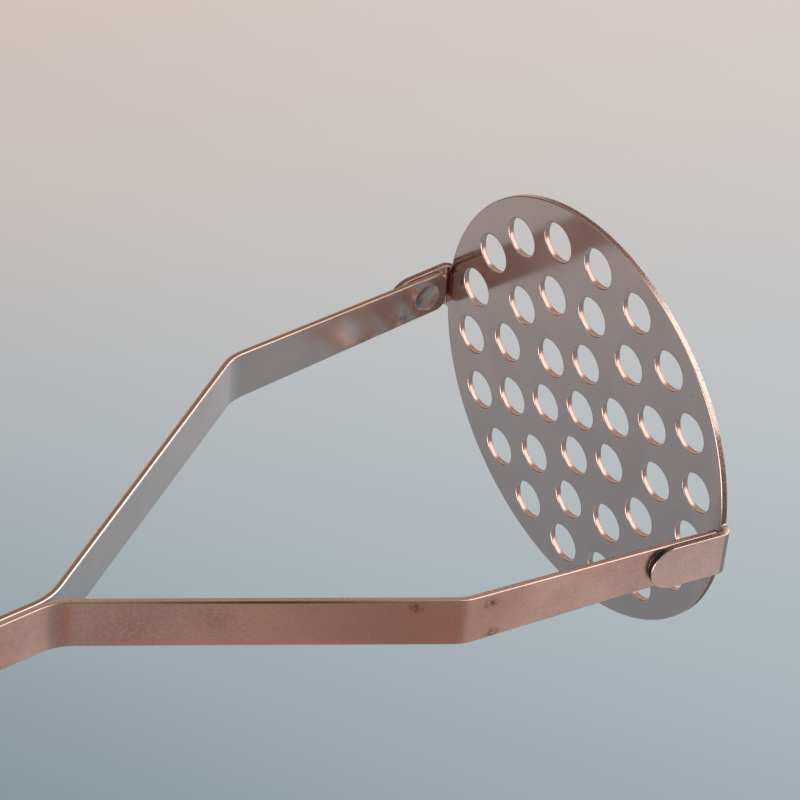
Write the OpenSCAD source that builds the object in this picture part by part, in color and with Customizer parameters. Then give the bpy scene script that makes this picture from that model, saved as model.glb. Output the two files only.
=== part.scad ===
// Hand masher: a round perforated plate on a forked frame of two bent straps,
// whose upper ends run face to face as a tang between two riveted handle scales.
// The plate lies on z = 0, its two ears stand on the X axis, and +Z runs up to the handle.

/* [Mashing plate] */
// Diameter of the plate
plate_d = 85; // [82:0.5:100]
// Thickness of the plate's sheet
sheet_t = 1.2; // [1:0.1:2]
// Diameter of each mashing hole
hole_d = 7.8; // [5:0.1:9]
// Distance from the centres of the outer ring of holes to the plate's rim
rim_margin = 8; // [6.5:0.1:12]
// Number of rings of holes round the middle hole
rings = 3; // [1:1:3]

/* [Ears] */
// Width of each ear
ear_w = 9.8; // [8:0.1:14]
// Height of the right ear's tip above the plate's underside
right_ear_h = 17; // [14:0.1:24]
// Height of the left ear's tip above the plate's underside
left_ear_h = 14.8; // [14:0.1:24]
// How far each ear's flat root runs past the plate's rim
ear_root = 0.3; // [0.2:0.1:2]
// Inside radius of the bend between the plate and an ear
ear_bend_r = 0.6; // [0.4:0.1:1.5]

/* [Straps] */
// Thickness of each strap
strap_t = 1.2; // [1:0.1:2]
// Width of each strap above its shoulder
strap_w = 10.8; // [9:0.1:14]
// Width of each strap at its foot
foot_w = 9; // [8:0.1:14]
// Corner radius at each strap's foot
foot_corner_r = 2.2; // [1:0.1:3.5]
// Gap from the ear's bend up to the strap's foot
foot_gap = 0.2; // [0.1:0.1:1]
// Half the frame's width over the shoulders
shoulder_half = 38.3; // [30:0.1:45]
// Height of the shoulders
shoulder_z = 52.7; // [40:0.5:65]
// Inside radius of the shoulder bends
shoulder_r = 8; // [4:0.5:14]
// Height at which the straps meet
merge_z = 113.7; // [100:0.5:130]
// Inside radius of the bends where the straps meet
merge_r = 11; // [6:0.5:16]
// Sideways place of the frame's middle plane from the plate's middle
frame_shift = -4.1; // [-6:0.1:6]

/* [Spot welds] */
// Diameter of each weld's dimple on the strap
weld_d = 6; // [4:0.5:7]
// Depth of each weld's dimple
weld_depth = 0.25; // [0.1:0.05:0.4]
// Distance of the weld from the strap's foot, along the strap
weld_up = 5; // [4.5:0.5:7]

/* [Handle] */
// Length of bare doubled strap below the handle
neck_len = 26.3; // [15:0.5:50]
// Length of the handle
handle_len = 112; // [104:1:130]
// Width of the handle
handle_w = 25; // [22:0.5:30]
// Thickness of each scale at its middle
scale_t = 9.5; // [8:0.1:12]
// Radius of the rounded back across each scale
back_r = 15; // [14:0.5:20]
// Radius of the long curve along each scale's back
crown_r = 620; // [450:10:900]
// Corner radius at the handle's lower end
heel_r = 7; // [4:0.5:9]
// Clearance round the tang in the scales' pockets
pocket_gap = 0.1; // [0.05:0.05:0.3]
// Distance from the handle's upper end to the tang's end
tang_stop = 22; // [20:0.5:26]

/* [Rivets] */
// Number of rivets
rivet_count = 3; // [2:1:3]
// Distance from the handle's lower end to the first rivet
rivet_first = 15; // [12:0.5:18]
// Distance from the tang's end to the last rivet
rivet_last = 15; // [10:0.5:20]
// Diameter of each rivet's head
rivet_head_d = 8; // [6.5:0.1:10]
// Thickness of each rivet's head
rivet_head_t = 1.5; // [1:0.1:2]
// Outer diameter of each rivet's tube
rivet_tube_d = 4.4; // [4:0.1:5]
// Diameter of the pin pressed into the tube
rivet_pin_d = 2.6; // [2:0.1:3]
// Radius of the rounded edge of each rivet's head
rivet_edge_r = 0.5; // [0.2:0.1:0.8]
// How far each pin runs past the frame's middle plane
pin_past = 2; // [1:0.5:3]
// Radial clearance of the tube in its holes
rivet_gap = 0.05; // [0.03:0.01:0.1]
// Radial clearance of the pin in its tube
pin_gap = 0.02; // [0.01:0.01:0.05]

/* [Hanging hole] */
// Bore of the eyelet that lines the hanging hole
eyelet_bore_d = 5.4; // [4:0.1:7]
// Wall thickness of the eyelet's barrel
eyelet_wall = 0.7; // [0.5:0.1:1]
// Width of the eyelet's rim outside its barrel
eyelet_rim = 1.9; // [1.5:0.1:2.5]
// Thickness of the eyelet's rim
eyelet_rim_t = 0.9; // [0.6:0.1:1.2]
// Distance from the handle's upper end to the hanging hole
eyelet_back = 12; // [11:0.5:14]
// Radial clearance of the eyelet in its hole and recesses
eyelet_gap = 0.05; // [0.03:0.01:0.1]

/* [Hidden] */
$fn = 64;

cut = 1; // how far a cutting tool runs past the face that it leaves by
bend_steps = 8; // flats that stand for each rounded bend or corner
steel = [0.66, 0.56, 0.53];
bright_steel = [0.78, 0.70, 0.66];
wood = [0.55, 0.36, 0.22];

plate_r = plate_d / 2;
ring_pitch = (plate_r - rim_margin) / rings; // radial step from one ring of holes to the next
ear_bend_x = plate_r + ear_root; // axis of each ear's bend, from the plate's middle
ear_bend_z = sheet_t + ear_bend_r;
foot_z = ear_bend_z + foot_gap;
handle_z = merge_z + neck_len;
handle_end = handle_z + handle_len;
handle_mid = (handle_z + handle_end) / 2;
tang_end = handle_end - tang_stop;
rivet_pitch = (tang_end - rivet_last - handle_z - rivet_first) / (rivet_count - 1);
eyelet_z = handle_end - eyelet_back;
eyelet_r = eyelet_bore_d / 2 + eyelet_wall;
rivet_hole_r = rivet_tube_d / 2 + rivet_gap;
rivet_head_r = rivet_head_d / 2;

// Distance from the frame's middle plane to the bend axis of the ear on that side.
function ear_axis(side) = ear_bend_x - side * frame_shift;

// Inward lean of an ear and its strap: the line from the shoulder that just touches
// the inside of the ear's bend.
function lean(side) =
    let (dx = shoulder_half - ear_axis(side), dz = shoulder_z - ear_bend_z)
    asin(ear_bend_r / norm([dx, dz])) - atan2(dx, dz);

// Angle of the frame's upper runs from the upright.
slope = atan2(shoulder_half - strap_t, merge_z - shoulder_z);

// Height of a scale's back over the frame's middle plane, at height z.
function back_x(z) = scale_t - crown_r + sqrt(crown_r * crown_r - pow(z - handle_mid, 2));

function rivet_z(i) = handle_z + rivet_first + (i - 1) * rivet_pitch;

// Height of the seat of a rivet's head over the frame's middle plane.
function rivet_seat(i) = back_x(rivet_z(i)) - rivet_head_t;

// Height of the seat of the eyelet's rims over the frame's middle plane.
eyelet_seat = back_x(eyelet_z) - eyelet_rim_t;

// The outward direction of a strip that leans inward by an angle, and the way it runs.
function outward(leaning) = [cos(leaning), sin(leaning)];
function along(leaning) = [-sin(leaning), cos(leaning)];

// Stations of a bend, as [point on the outer face, lean], round a centre. A radius
// under zero is a bend whose centre lies on the outer side.
function bend(centre, radius, from, to) = [
    for (i = [0:bend_steps])
        let (leaning = from + (to - from) * i / bend_steps)
        [centre + radius * outward(leaning), leaning]
];

// A strip of one thickness through its stations, upright on the X axis.
module strip(stations, thick, width) {
    outer = [for (s = stations) s[0]];
    inner = [for (s = stations) s[0] - thick * outward(s[1])];
    last = len(stations) - 1;
    rotate([90, 0, 0])
        linear_extrude(width, center = true)
            polygon(concat(outer, [for (i = [0:last]) inner[last - i]]));
}

// Points of a rounded corner, for outlines.
function corner(centre, radius, from, to) = [
    for (i = [0:bend_steps])
        let (a = from + (to - from) * i / bend_steps)
        centre + radius * [cos(a), sin(a)]
];

// Turns an outline drawn with its second axis up into a slab that runs along X.
module along_x(length) {
    rotate([90, 0, 90]) linear_extrude(length) children();
}

// An ear on the +X side, bent up from the plate's rim.
module ear(leaning, height) {
    bend_centre = [ear_bend_x, ear_bend_z];
    outer_r = ear_bend_r + sheet_t;
    bend_end = bend_centre + outer_r * outward(leaning);
    intersection() {
        strip(
            concat(
                [[[plate_r - ear_w, 0], -90]],
                bend(bend_centre, outer_r, -90, leaning),
                [[bend_end + (height - bend_end[1]) / cos(leaning) * along(leaning), leaning]]
            ),
            sheet_t,
            ear_w + 2 * cut
        );
        along_x(plate_d)
            polygon(concat(
                [[-ear_w / 2, -cut], [ear_w / 2, -cut]],
                corner([0, height - ear_w / 2], ear_w / 2, 0, 180)
            ));
    }
}

module mash_plate() {
    color(steel) difference() {
        union() {
            cylinder(r = plate_r, h = sheet_t);
            ear(lean(1), right_ear_h);
            mirror([1, 0, 0]) ear(lean(-1), left_ear_h);
        }
        translate([0, 0, -cut]) cylinder(d = hole_d, h = sheet_t + 2 * cut);
        for (ring = [1:rings])
            for (k = [0:6 * ring - 1])
                rotate([0, 0, (k + (ring % 2) / 2) * 60 / ring])
                    translate([ring * ring_pitch, 0, -cut])
                        cylinder(d = hole_d, h = sheet_t + 2 * cut);
    }
}

// A strap's outline seen along X: it narrows from the shoulder to a rounded foot.
module strap_front() {
    corner_y = foot_w / 2 - foot_corner_r;
    corner_z = foot_z + foot_corner_r;
    polygon(concat(
        corner([corner_y, corner_z], foot_corner_r, -90, 0),
        [
            [strap_w / 2, shoulder_z],
            [strap_w / 2, tang_end],
            [-strap_w / 2, tang_end],
            [-strap_w / 2, shoulder_z],
        ],
        corner([-corner_y, corner_z], foot_corner_r, 180, 270)
    ));
}

// One strap of the frame, on the +X side of the frame's middle plane x = 0.
module strap(side) {
    leaning = lean(side);
    foot = [shoulder_half + (shoulder_z - foot_z) * tan(leaning), foot_z];
    shoulder_out = shoulder_r + strap_t;
    shoulder_cut = shoulder_out * tan((slope - leaning) / 2);
    shoulder_start = [shoulder_half, shoulder_z] - shoulder_cut * along(leaning);
    merge_centre = [strap_t + merge_r, merge_z + merge_r * tan(slope / 2)];
    dimple_r = (pow(weld_d / 2, 2) + pow(weld_depth, 2)) / (2 * weld_depth);
    dimple = foot + weld_up * along(leaning)
        + (dimple_r - weld_depth + strap_t) * -outward(leaning);
    difference() {
        intersection() {
            strip(
                concat(
                    [[foot, leaning]],
                    bend(
                        shoulder_start - shoulder_out * outward(leaning),
                        shoulder_out, leaning, slope
                    ),
                    bend(merge_centre, -merge_r, slope, 0),
                    [[[strap_t, tang_end], 0]]
                ),
                strap_t,
                max(strap_w, foot_w) + 2 * cut
            );
            translate([-cut, 0, 0]) along_x(foot[0] + shoulder_half) strap_front();
        }
        translate([dimple[0], 0, dimple[1]]) sphere(r = dimple_r);
        for (i = [1:rivet_count])
            translate([-cut, 0, rivet_z(i)])
                rotate([0, 90, 0]) cylinder(r = rivet_hole_r, h = strap_t + 2 * cut);
    }
}

// Puts what is drawn for the +X half of the frame on either side of it.
module on_side(side) {
    translate([frame_shift, 0, 0])
        if (side > 0) children();
        else mirror([1, 0, 0]) children();
}

module right_strap() {
    color(steel) on_side(1) strap(1);
}

module left_strap() {
    color(steel) on_side(-1) strap(-1);
}

// The handle's outline seen along X, with a square-shouldered heel and a round top.
module handle_front() {
    top_r = handle_w / 2;
    heel_y = top_r - heel_r;
    polygon(concat(
        corner([heel_y, handle_z + heel_r], heel_r, -90, 0),
        corner([0, handle_end - top_r], top_r, 0, 180),
        corner([-heel_y, handle_z + heel_r], heel_r, 180, 270)
    ));
}

// A scale's profile seen along Y: flat on x = 0, with a long crown on its back.
module crown_side() {
    steps = 4 * bend_steps;
    polygon(concat(
        [[0, handle_end], [0, handle_z]],
        [
            for (i = [0:steps])
                let (z = handle_z + handle_len * i / steps)
                [back_x(z), z]
        ]
    ));
}

// One handle scale, on the +X side of the frame's middle plane x = 0.
module scale_half() {
    pocket_w = strap_w + 2 * pocket_gap;
    difference() {
        intersection() {
            along_x(scale_t + cut) handle_front();
            rotate([90, 0, 0]) linear_extrude(2 * handle_w, center = true) crown_side();
            translate([scale_t - back_r, 0, handle_z - cut])
                cylinder(r = back_r, h = handle_len + 2 * cut);
        }
        translate([-cut, -pocket_w / 2, handle_z - cut])
            cube([cut + strap_t, pocket_w, tang_end - handle_z + pocket_gap + cut]);
        for (i = [1:rivet_count])
            translate([-cut, 0, rivet_z(i)]) rotate([0, 90, 0]) {
                cylinder(r = rivet_hole_r, h = scale_t + 2 * cut);
                translate([0, 0, cut + rivet_seat(i)])
                    cylinder(d = rivet_head_d + 2 * rivet_gap, h = rivet_head_t + cut);
            }
        translate([-cut, 0, eyelet_z]) rotate([0, 90, 0]) {
            cylinder(r = eyelet_r + eyelet_gap, h = scale_t + 2 * cut);
            translate([0, 0, cut + eyelet_seat])
                cylinder(r = eyelet_r + eyelet_rim + eyelet_gap, h = eyelet_rim_t + cut);
        }
    }
}

module right_scale() {
    color(wood) on_side(1) scale_half();
}

module left_scale() {
    color(wood) on_side(-1) scale_half();
}

// Outline of a rivet's head on its seat, from its rim to its middle.
function head_outline(seat) = concat(
    [[rivet_head_r, seat]],
    corner(
        [rivet_head_r - rivet_edge_r, seat + rivet_head_t - rivet_edge_r],
        rivet_edge_r, 0, 90
    ),
    [[0, seat + rivet_head_t]]
);

// The rivet's half that is a head on a tube, entered from the right.
module rivet_post(i) {
    seat = rivet_seat(i);
    bore_r = rivet_pin_d / 2 + pin_gap;
    bore_floor = pin_past + pin_gap;
    color(bright_steel)
        translate([frame_shift, 0, rivet_z(i)]) rotate([0, 90, 0]) rotate_extrude()
            polygon(concat(
                [
                    [0, bore_floor],
                    [bore_r, bore_floor],
                    [bore_r, -seat],
                    [rivet_tube_d / 2, -seat],
                    [rivet_tube_d / 2, seat],
                ],
                head_outline(seat)
            ));
}

// The rivet's half that is a head on a pin, pressed into the tube from the left.
module rivet_cap(i) {
    seat = rivet_seat(i);
    pin_r = rivet_pin_d / 2;
    color(bright_steel)
        translate([frame_shift, 0, rivet_z(i)]) rotate([0, -90, 0]) rotate_extrude()
            polygon(concat(
                [[0, -pin_past], [pin_r, -pin_past], [pin_r, seat]],
                head_outline(seat)
            ));
}

// The tubular eyelet, flared over both scales.
module hang_eyelet() {
    bore_r = eyelet_bore_d / 2;
    rim_r = eyelet_r + eyelet_rim;
    top = eyelet_seat + eyelet_rim_t;
    color(bright_steel)
        translate([frame_shift, 0, eyelet_z]) rotate([0, 90, 0]) rotate_extrude()
            polygon([
                [bore_r, top - eyelet_wall],
                [bore_r, eyelet_wall - top],
                [bore_r + eyelet_wall / 2, -top],
                [eyelet_r, -top],
                [rim_r, -eyelet_seat - eyelet_rim_t / 3],
                [rim_r, -eyelet_seat],
                [eyelet_r, -eyelet_seat],
                [eyelet_r, eyelet_seat],
                [rim_r, eyelet_seat],
                [rim_r, eyelet_seat + eyelet_rim_t / 3],
                [eyelet_r, top],
                [bore_r + eyelet_wall / 2, top],
            ]);
}

mash_plate();
right_strap();
left_strap();
right_scale();
left_scale();
for (i = [1:rivet_count]) {
    rivet_post(i);
    rivet_cap(i);
}
hang_eyelet();
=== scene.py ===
"""Looks of a hand masher: a perforated steel plate on a forked strap frame with a riveted wooden handle.

Every length is in metres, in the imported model's frame: the plate's underside lies on z = 0, its two ears
stand on the X axis and +Z runs up to the handle.
"""

from __future__ import annotations

import logging
import math
from abc import ABC, abstractmethod
from dataclasses import dataclass
from enum import Enum
from typing import Iterable, Mapping, Sequence, Union

import bmesh
import bpy
from mathutils import Matrix, Vector


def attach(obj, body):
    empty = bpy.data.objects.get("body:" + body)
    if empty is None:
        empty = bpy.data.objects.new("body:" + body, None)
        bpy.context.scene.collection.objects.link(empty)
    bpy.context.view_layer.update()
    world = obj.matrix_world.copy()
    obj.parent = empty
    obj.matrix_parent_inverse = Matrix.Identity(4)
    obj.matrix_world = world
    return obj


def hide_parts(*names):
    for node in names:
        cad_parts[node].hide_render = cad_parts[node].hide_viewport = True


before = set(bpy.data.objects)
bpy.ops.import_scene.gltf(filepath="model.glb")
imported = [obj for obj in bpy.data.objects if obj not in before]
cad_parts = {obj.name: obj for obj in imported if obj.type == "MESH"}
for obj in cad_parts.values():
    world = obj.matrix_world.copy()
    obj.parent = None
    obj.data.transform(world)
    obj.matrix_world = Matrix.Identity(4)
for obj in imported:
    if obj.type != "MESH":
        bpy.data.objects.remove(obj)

LOG = logging.getLogger("masher")
MM = 0.001
TOUCHING = 1e-6
BODY = "root"
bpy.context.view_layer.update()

Color = tuple[float, float, float]
Point = tuple[float, float, float]


class Side(Enum):
    """The two halves of the frame, named for the end of the X axis that they stand on."""

    RIGHT = 1
    LEFT = -1


class Slot(Enum):
    """The record's material slots."""

    PLATE = "plate_steel"
    STRAP = "strap_steel"
    RIVET = "rivet_steel"
    HANDLE = "handle_wood"


# ---------------------------------------------------------------- shader graphs


class Signal:
    """An output socket of a shader node, on which arithmetic is written as in Python."""

    def __init__(self, graph: Graph, socket: bpy.types.NodeSocket) -> None:
        """Keeps the graph that the socket belongs to.

        Args:
            graph: the graph that new Math nodes go to.
            socket: the output socket.
        """
        self.graph = graph
        self.socket = socket

    def __add__(self, other: Input) -> Signal:
        """Returns self + other."""
        return self.graph.compute("ADD", self, other)

    def __radd__(self, other: Input) -> Signal:
        """Returns other + self."""
        return self.graph.compute("ADD", other, self)

    def __sub__(self, other: Input) -> Signal:
        """Returns self - other."""
        return self.graph.compute("SUBTRACT", self, other)

    def __rsub__(self, other: Input) -> Signal:
        """Returns other - self."""
        return self.graph.compute("SUBTRACT", other, self)

    def __mul__(self, other: Input) -> Signal:
        """Returns self * other."""
        return self.graph.compute("MULTIPLY", self, other)

    def __rmul__(self, other: Input) -> Signal:
        """Returns other * self."""
        return self.graph.compute("MULTIPLY", other, self)


Input = Union[float, int, Sequence[float], Signal, bpy.types.NodeSocket]


class Graph:
    """The node tree of a material or a world."""

    def __init__(self, owner: bpy.types.Material | bpy.types.World) -> None:
        """Empties the owner's node tree.

        Args:
            owner: the material or world to build.
        """
        owner.use_nodes = True
        self.tree = owner.node_tree
        self.tree.nodes.clear()
        kind = "World" if isinstance(owner, bpy.types.World) else "Material"
        self.sink = self.tree.nodes.new(f"ShaderNodeOutput{kind}")

    def add(
        self,
        kind: str,
        settings: Mapping[str, object] | None = None,
        inputs: Mapping[str | int, Input] | None = None,
        output: str | int = 0,
    ) -> Signal:
        """Adds a node.

        Args:
            kind: the node's type.
            settings: the node's own settings, set first. "stops" are a ramp's positions and colours.
            inputs: values or links of its input sockets, by name or by index.
            output: the output socket to return.

        Returns:
            The chosen output.
        """
        node = self.tree.nodes.new(kind)
        for name, value in (settings or {}).items():
            if name == "stops":
                self._set_stops(node.color_ramp, value)
            else:
                setattr(node, name, value)
        for name, value in (inputs or {}).items():
            socket = node.inputs[name]
            if isinstance(value, Signal):
                self.tree.links.new(value.socket, socket)
            elif socket.type == "RGBA" and len(value) == 3:
                socket.default_value = (*value, 1.0)
            else:
                socket.default_value = value
        return Signal(self, node.outputs[output])

    @staticmethod
    def _set_stops(ramp: bpy.types.ColorRamp, stops: Sequence[tuple[float, Color]]) -> None:
        """Gives a colour ramp its stops.

        Args:
            ramp: the ramp.
            stops: pairs of position and colour, from low to high.
        """
        while len(ramp.elements) < len(stops):
            ramp.elements.new(0.5)
        for element, (place, color) in zip(ramp.elements, stops):
            element.position = place
            element.color = (*color, 1.0)

    def compute(self, operation: str, *values: Input) -> Signal:
        """Adds a Math node.

        Args:
            operation: the node's operation.
            *values: its one or two inputs.

        Returns:
            The result.
        """
        return self.add("ShaderNodeMath", {"operation": operation}, dict(enumerate(values)))

    def place(self) -> Signal:
        """Returns the surface point in Object coordinates, in metres."""
        return self.add("ShaderNodeTexCoord", output="Object")

    def stretched(self, vector: Signal, factors: Point) -> Signal:
        """Multiplies a vector, axis by axis.

        Args:
            vector: the vector.
            factors: one factor an axis.

        Returns:
            The product.
        """
        return self.add("ShaderNodeVectorMath", {"operation": "MULTIPLY"}, {0: vector, 1: factors})

    def noise(self, vector: Signal, cell: float, detail: float = 3.0, rough: float = 0.55) -> Signal:
        """Adds a noise with a mean of about 0.5.

        Args:
            vector: the coordinates.
            cell: the size of its coarsest cells.
            detail: the number of finer layers.
            rough: the strength of each finer layer.

        Returns:
            The noise's value.
        """
        return self.add(
            "ShaderNodeTexNoise",
            {"noise_dimensions": "3D"},
            {"Vector": vector, "Scale": 1 / cell, "Detail": detail, "Roughness": rough},
            "Fac",
        )

    def ramp(self, value: Input, low: float, high: float) -> Signal:
        """Rises smoothly from 0 at one value to 1 at another, and stays there beyond them.

        Args:
            value: what is mapped.
            low: the value that gives 0.
            high: the value that gives 1.

        Returns:
            The mapped value.
        """
        return self.add(
            "ShaderNodeMapRange",
            {"interpolation_type": "SMOOTHSTEP"},
            {"Value": value, "From Min": low, "From Max": high},
        )

    def blend(self, factor: Input, low: Input, high: Input) -> Signal:
        """Mixes two colours.

        Args:
            factor: 0 gives low and 1 gives high.
            low: the first colour.
            high: the second colour.

        Returns:
            The mixed colour.
        """
        return self.add(
            "ShaderNodeMix",
            {"data_type": "RGBA", "blend_type": "MIX", "clamp_factor": True},
            {0: factor, 6: low, 7: high},
            2,
        )

    def bump(self, height: Signal, depth: float, below: Signal | None = None) -> Signal:
        """Adds a Bump node.

        Args:
            height: the height, where 1 stands for depth.
            depth: the depth in metres.
            below: a coarser normal that this one lies on.

        Returns:
            The bumped normal.
        """
        inputs: dict[str | int, Input] = {"Height": height, "Distance": depth, "Strength": 1.0}
        if below is not None:
            inputs["Normal"] = below
        return self.add("ShaderNodeBump", None, inputs)

    def component(self, vector: Signal, axis: str) -> Signal:
        """Returns one axis, "X", "Y" or "Z", of a vector."""
        return self.add("ShaderNodeSeparateXYZ", None, {"Vector": vector}, axis)

    def distance(self, vector: Signal, point: Point) -> Signal:
        """Returns the distance from a vector to a fixed point."""
        return self.add("ShaderNodeVectorMath", {"operation": "DISTANCE"}, {0: vector, 1: point}, "Value")

    def dot(self, vector: Signal, way: Point) -> Signal:
        """Returns how far a vector reaches along a fixed direction."""
        return self.add("ShaderNodeVectorMath", {"operation": "DOT_PRODUCT"}, {0: vector, 1: way}, "Value")

    def surface(self, shader: Signal) -> None:
        """Links a shader to the owner's output."""
        self.tree.links.new(shader.socket, self.sink.inputs["Surface"])


# ---------------------------------------------------------------- finishes


class Finish(ABC):
    """A surface finish, made once and shared by the pieces that have it."""

    name: str

    @abstractmethod
    def shade(self, graph: Graph) -> dict[str | int, Input]:
        """Returns the Principled shader's inputs."""

    @staticmethod
    def metal(color: Signal, roughness: Signal, normal: Signal) -> dict[str | int, Input]:
        """Returns the Principled shader's inputs for bare metal."""
        return {"Base Color": color, "Roughness": roughness, "Metallic": 1.0, "Normal": normal}

    def material(self) -> bpy.types.Material:
        """Returns the finish's material and makes it the first time."""
        made = bpy.data.materials.get(self.name)
        if made is None:
            made = bpy.data.materials.new(self.name)
            graph = Graph(made)
            graph.surface(graph.add("ShaderNodeBsdfPrincipled", None, self.shade(graph)))
        return made


@dataclass(frozen=True)
class StainOrLight:
    """A soft spot of grime, tarnish or bare metal, or of painted light and shade: a painted highlight,
    reflection or shadow. Its place and radius are in millimetres.
    """

    place: Point
    radius: float
    strength: float
    color: Color = (0.10, 0.075, 0.065)
    squeeze: Point = (1.0, 1.0, 1.0)
    ragged: bool = True
    tatter_size: float = 0.8 * MM

    def cover(self, graph: Graph, place: Signal, color: Signal) -> Signal:
        """Lays the spot over a colour.

        Args:
            graph: the material's graph.
            place: the surface point.
            color: the colour below it.

        Returns:
            The colour with the spot laid over it.
        """
        middle = tuple(a * MM * b for a, b in zip(self.place, self.squeeze))
        off = graph.distance(graph.stretched(place, self.squeeze), middle)
        share = graph.ramp(off, self.radius * MM, 0.0) * self.strength
        if self.ragged:
            share = share * graph.ramp(graph.noise(place, self.tatter_size, 3.0), 0.35, 0.6)
        return graph.blend(share, color, self.color)


@dataclass(frozen=True)
class RolledSteel(Finish):
    """Rose-tinted rolled steel: patches of tone, fine grain along the strip, pits and slow waves."""

    name: str
    tint: Color
    deep: Color
    roughness: float
    least_share: float = 0.25
    patch_size: float = 9.0 * MM
    patch_share: float = 0.4
    patch_gloss: float = 0.5
    speckle_size: float = 0.45 * MM
    speckle_share: float = 1.6
    grain_size: float = 0.35 * MM
    grain_stretch: Point = (1.0, 1.0, 0.12)
    grain_gloss: float = 0.25
    grain_depth: float = 0.004 * MM
    wave_size: float = 14.0 * MM
    wave_depth: float = 0.02 * MM
    pit_depth: float = 0.004 * MM
    stains_and_light: tuple[StainOrLight, ...] = ()

    def shade(self, graph: Graph) -> dict[str | int, Input]:
        """Returns the Principled shader's inputs.

        Args:
            graph: the material's graph.

        Returns:
            Values and links by socket name.
        """
        place = graph.place()
        patches = graph.noise(place, self.patch_size, 4.0)
        grain = graph.noise(graph.stretched(place, self.grain_stretch), self.grain_size, 3.0, 0.6)
        speckle = graph.noise(place, self.speckle_size, 2.0, 0.5)
        clouded = self.least_share + graph.ramp(patches, 0.35, 0.7) * self.patch_share
        share = clouded + (speckle - 0.5) * self.speckle_share
        color = graph.blend(share, self.tint, self.deep)
        # Spots of stain and of painted light and shade, laid over the tone.
        for stain_or_light in self.stains_and_light:
            color = stain_or_light.cover(graph, place, color)
        roughness = (
            self.roughness
            + (patches - 0.5) * (self.patch_gloss * self.roughness)
            + (grain - 0.5) * (self.grain_gloss * self.roughness)
        )
        waves = graph.bump(graph.noise(place, self.wave_size, 1.0), self.wave_depth)
        rolled = graph.bump(grain, self.grain_depth, waves)
        pitted = graph.bump(speckle, self.pit_depth, rolled)
        return self.metal(color, roughness, pitted)


@dataclass(frozen=True)
class PlateSteel(Finish):
    """The plate's bright cold-rolled sheet: nearly a mirror, with hair scratches and tiny rust pits."""

    name: str = "plate_sheet"
    tint: Color = (0.70, 0.535, 0.495)
    deep: Color = (0.58, 0.44, 0.41)
    rust: Color = (0.16, 0.09, 0.07)
    roughness: float = 0.13
    least_share: float = 0.2
    cloud_size: float = 11 * MM
    cloud_share: float = 0.4
    cloud_gloss: float = 0.08
    speckle_size: float = 0.4 * MM
    speckle_share: float = 1.3
    pit_spacing: float = 5.0 * MM
    pit_radius: float = 0.22 * MM
    pit_depth: float = 0.03 * MM
    pit_chance: tuple[float, float] = (0.72, 0.78)
    pit_cover: float = 0.8
    pit_gloss: float = 0.4
    hair_size: float = 0.25 * MM
    hair_stretch: Point = (1.0, 0.05, 1.0)
    hair_depth: float = 0.0006 * MM
    hair_gloss: float = 0.05
    wave_size: float = 18 * MM
    wave_depth: float = 0.012 * MM

    def shade(self, graph: Graph) -> dict[str | int, Input]:
        """Returns the Principled shader's inputs.

        Args:
            graph: the material's graph.

        Returns:
            Values and links by socket name.
        """
        place = graph.place()
        cloud = graph.noise(place, self.cloud_size, 4.0)
        speckle = graph.noise(place, self.speckle_size, 2.0)
        clouded = self.least_share + graph.ramp(cloud, 0.35, 0.7) * self.cloud_share
        share = clouded + (speckle - 0.5) * self.speckle_share
        color = graph.blend(share, self.tint, self.deep)
        cells = {"Vector": place, "Scale": 1 / self.pit_spacing}
        to_pit = graph.add("ShaderNodeTexVoronoi", {"feature": "F1"}, cells, "Distance")
        chance = graph.component(graph.add("ShaderNodeTexVoronoi", {"feature": "F1"}, cells, "Color"), "X")
        size = self.pit_radius / self.pit_spacing
        pits = graph.ramp(to_pit, size, size * 0.3) * graph.ramp(chance, *self.pit_chance)
        color = graph.blend(pits * self.pit_cover, color, self.rust)
        hairs = graph.noise(graph.stretched(place, self.hair_stretch), self.hair_size, 2.0, 0.7)
        hazy = self.roughness + (cloud - 0.5) * self.cloud_gloss
        roughness = hazy + (hairs - 0.5) * self.hair_gloss + pits * self.pit_gloss
        waves = graph.bump(graph.noise(place, self.wave_size, 1.0), self.wave_depth)
        scratched = graph.bump(hairs, self.hair_depth, waves)
        pitted = graph.bump(1 - pits, self.pit_depth, scratched)
        return self.metal(color, roughness, pitted)


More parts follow.
